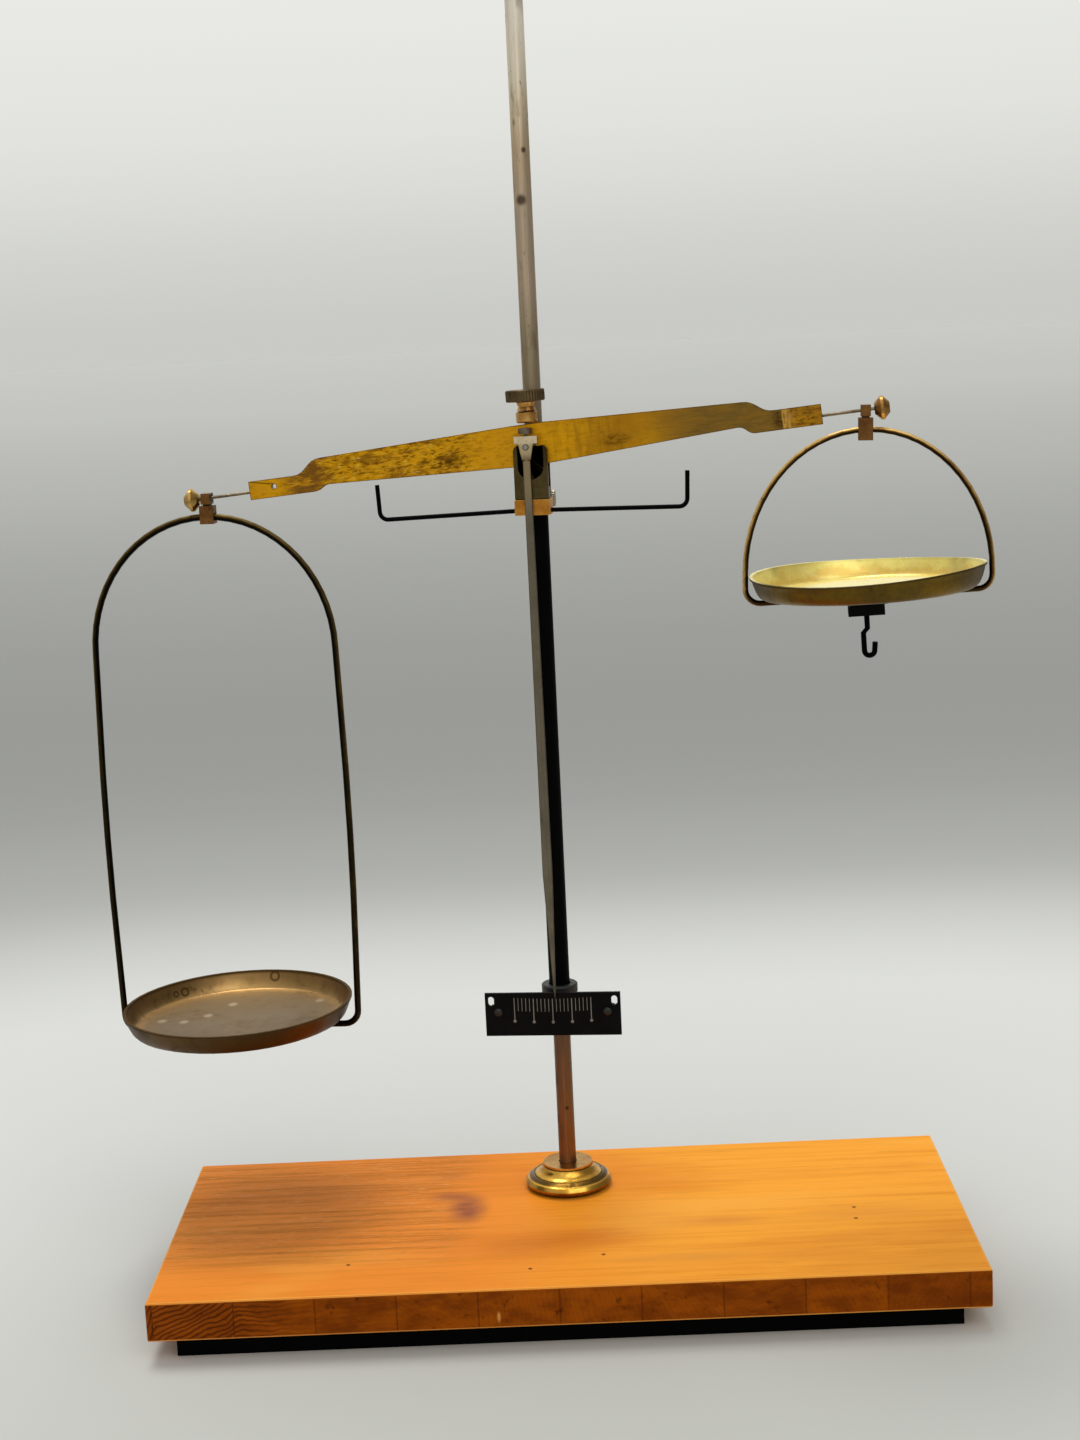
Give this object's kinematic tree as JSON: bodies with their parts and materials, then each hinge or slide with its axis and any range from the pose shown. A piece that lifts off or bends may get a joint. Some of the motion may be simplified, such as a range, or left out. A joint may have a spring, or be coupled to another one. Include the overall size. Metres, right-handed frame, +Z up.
{
  "type": "beam balance",
  "caption": "Open laboratory beam balance on a steel rod with a wooden base, a knife-edge beam, a long and a short pan hanger, a pointer and a small scale.",
  "frame": {"origin": "middle of the plinth's underside, where the balance stands on the table", "axes": "+Z up, +X to the right along the base board, +Y to the back; the head is turned 6 degrees about the rod, its right end towards the front"},
  "size_m": [0.5092, 0.2141, 0.752],
  "materials": {
    "wood": "varnished",
    "black_wood": "black stain",
    "zinc": "dull zinc",
    "steel": "drawn, lightly stained",
    "knife_steel": "ground",
    "brass": "worn",
    "copper_brass": "worn",
    "bronze": "dark patina",
    "dark_brown": "dark patina",
    "pan_bronze": "brown patina",
    "black": "black enamel",
    "bearing": "polished black"
  },
  "bodies": {
    "stand": {"base_board": "wood", "plinth": "black_wood", "plinth_screw_1": "zinc", "plinth_screw_2": "zinc", "plinth_screw_3": "zinc", "plinth_screw_4": "zinc", "stand_rod": "steel", "rod_washer": "zinc", "rod_nut": "zinc", "rosette": "brass"},
    "head": {"clamp_block": "copper_brass", "yoke": "bronze", "bearing_front": "bearing", "bearing_rear": "bearing", "stop_wire": "black", "sleeve_tube": "black", "scale_collar": "black", "scale_bracket": "black", "scale_plate": "black", "scale_screw_left": "zinc", "scale_screw_right": "zinc"},
    "thumbscrew": {"thumbscrew": "zinc"},
    "beam": {"beam": "brass", "centre_knife": "knife_steel", "gravity_stud": "knife_steel", "lock_nut": "brass", "disc_hub": "brass", "end_wire_left": "steel", "end_wire_right": "steel"},
    "gravity_disc": {"gravity_disc": "dark_brown"},
    "left_nut": {"balance_nut_left": "brass"},
    "right_nut": {"balance_nut_right": "brass"},
    "pointer": {"pointer_head": "steel", "pointer_blade": "steel", "pointer_screw": "knife_steel"},
    "left_stirrup": {"stirrup_left": "bronze"},
    "left_hanger": {"bail_left": "black", "pan_left": "pan_bronze", "saddle_left": "brass"},
    "right_stirrup": {"stirrup_right": "bronze"},
    "right_hanger": {"bail_right": "bronze", "pan_right": "brass", "saddle_right": "brass", "hook_block": "black", "pan_hook": "black"}
  },
  "joints": [
    {"name": "head_slide", "type": "slide", "parent": "stand", "child": "head", "axis": [0, 0, 1], "range_m": [-0.085, 0.28]},
    {"name": "thumbscrew_turn", "type": "hinge", "parent": "head", "child": "thumbscrew", "pos_m": [0.0018, 0.0446, 0.44], "axis": [0.9945, -0.1045, 0], "continuous": true},
    {"name": "beam_tilt", "type": "hinge", "parent": "head", "child": "beam", "pos_m": [0.00002, 0.02769, 0.4669], "axis": [0.1045, 0.9945, 0], "range_deg": [-1.8, 11.7]},
    {"name": "pointer_set", "type": "hinge", "parent": "beam", "child": "pointer", "pos_m": [-0.00179, 0.02788, 0.47035], "axis": [0.1045, 0.9945, 0], "range_deg": [-8, 8]},
    {"name": "gravity_disc_set", "type": "slide", "parent": "beam", "child": "gravity_disc", "axis": [-0.0305, 0.0032, 0.9995], "range_m": [0, 0.004]},
    {"name": "left_nut_set", "type": "slide", "parent": "beam", "child": "left_nut", "axis": [-0.9903, 0.1041, -0.0917], "range_m": [0, 0.002]},
    {"name": "right_nut_set", "type": "slide", "parent": "beam", "child": "right_nut", "axis": [0.9903, -0.1041, 0.0917], "range_m": [-0.0005, 0.002]},
    {"name": "left_swing", "type": "hinge", "parent": "beam", "child": "left_stirrup", "pos_m": [-0.18279, 0.04691, 0.44998], "axis": [0.1045, 0.9945, 0], "range_deg": [-14, 2.2]},
    {"name": "left_rock", "type": "hinge", "parent": "left_stirrup", "child": "left_hanger", "pos_m": [-0.18279, 0.04691, 0.43818], "axis": [0.9945, -0.1045, 0], "range_deg": [-20, 20]},
    {"name": "right_swing", "type": "hinge", "parent": "beam", "child": "right_stirrup", "pos_m": [0.18284, 0.00848, 0.48382], "axis": [0.1045, 0.9945, 0], "range_deg": [-14, 2.6]},
    {"name": "right_rock", "type": "hinge", "parent": "right_stirrup", "child": "right_hanger", "pos_m": [0.18252, 0.00851, 0.47203], "axis": [0.9942, -0.1045, -0.027], "range_deg": [-20, 20]}
  ]
}
